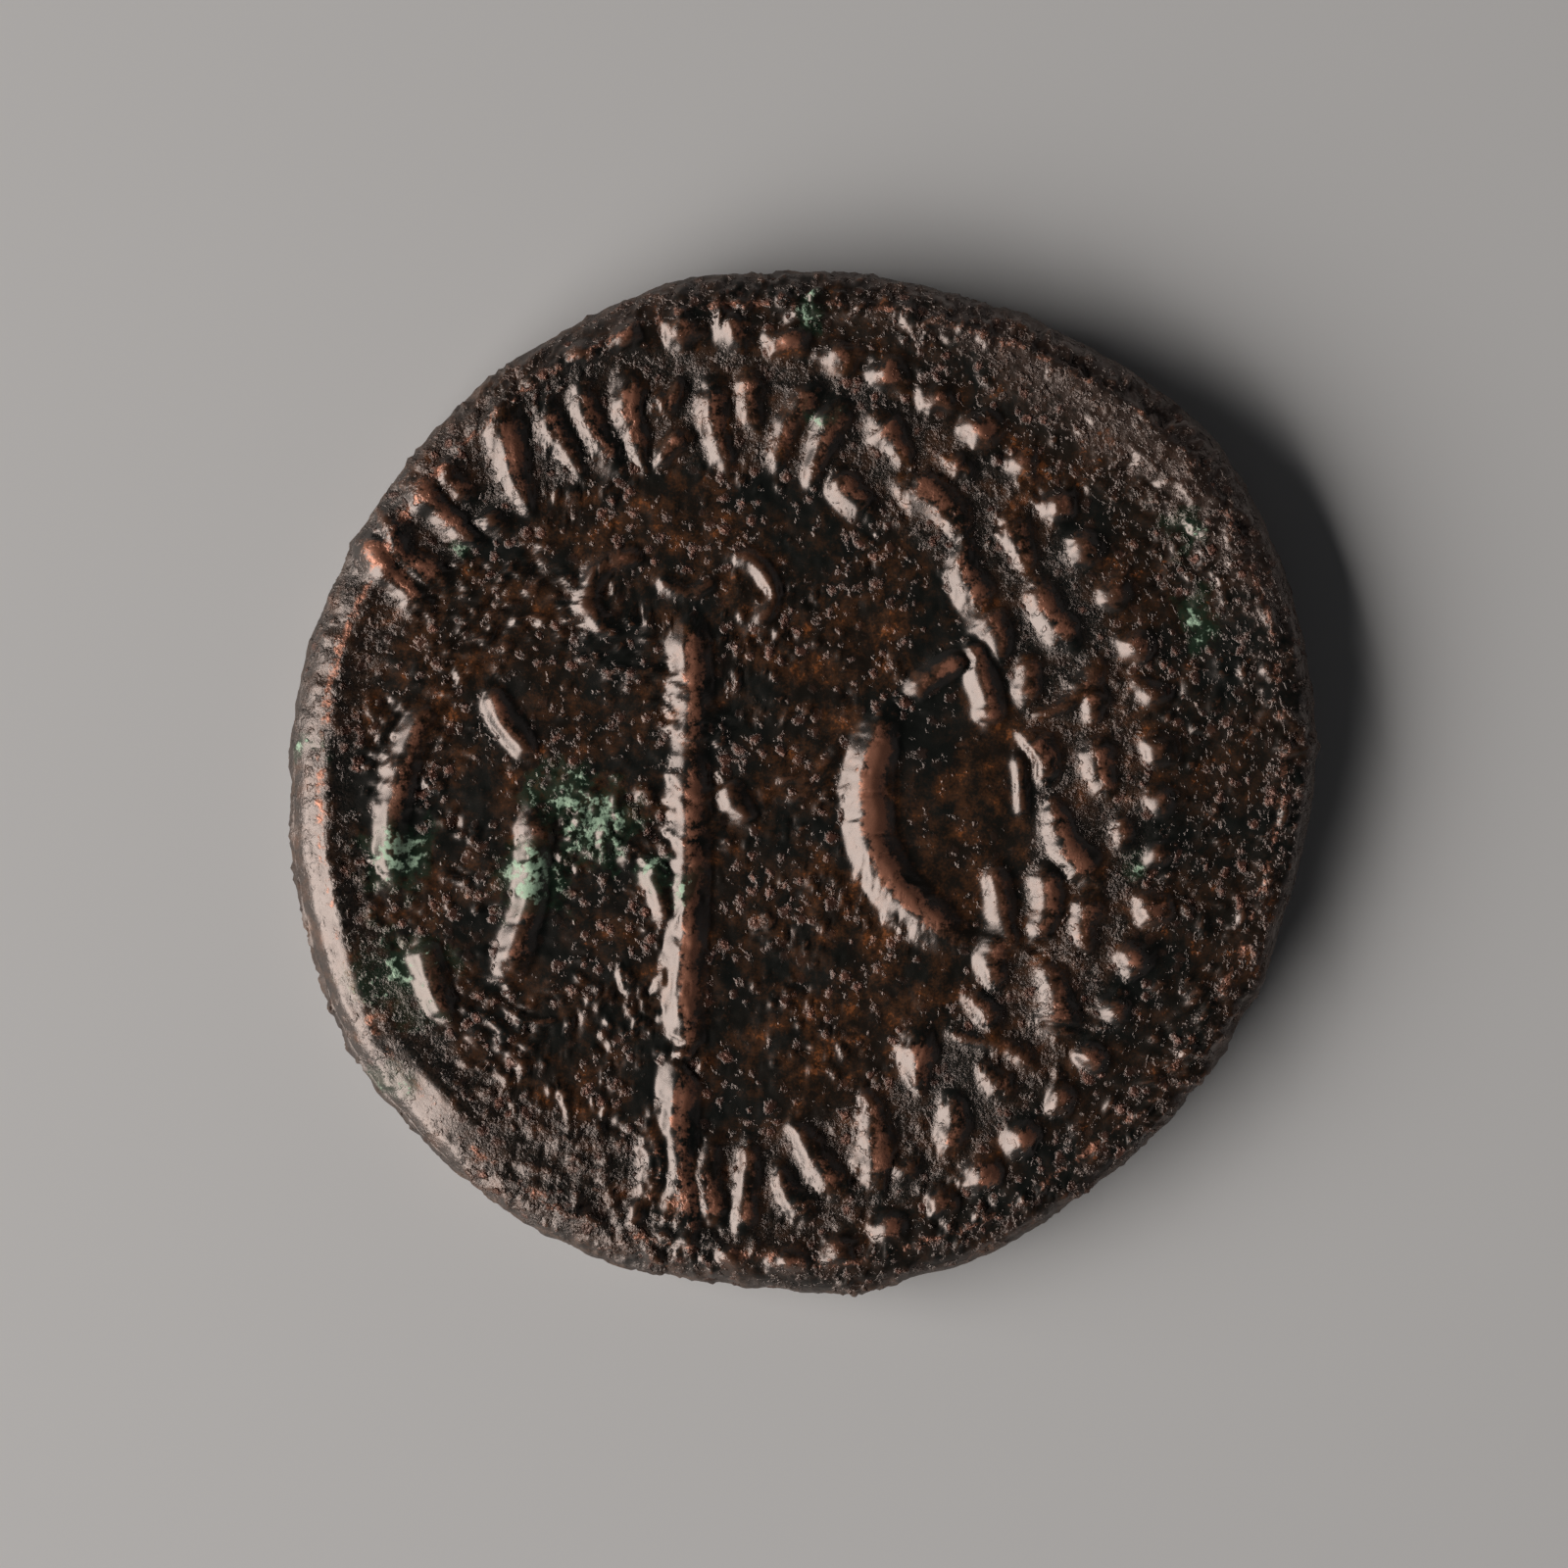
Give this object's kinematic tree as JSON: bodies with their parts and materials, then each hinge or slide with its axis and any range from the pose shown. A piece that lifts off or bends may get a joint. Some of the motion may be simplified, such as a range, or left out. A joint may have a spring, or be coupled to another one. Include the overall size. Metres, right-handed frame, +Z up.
{
  "type": "roman bronze coin",
  "caption": "Worn struck bronze coin with a winged staff between bold strokes, a ring of short strokes and a bead border; lies flat",
  "frame": {"origin": "Centre of the coin's bounding box in plan, on the surface it lies on: the plane of the flat ring around its underside.", "axes": "+Z is up out of the upper face, along the coin's thickness. +Y is the way the top of the winged staff points, and +X is to the right with the upper face seen upright."},
  "size_m": [0.0272, 0.027, 0.0025],
  "materials": {
    "bronze": "dark brown to black-green patina with verdigris spots and copper-pink wear on the high points"
  },
  "bodies": {
    "root": {"coin": "bronze"}
  },
  "joints": []
}
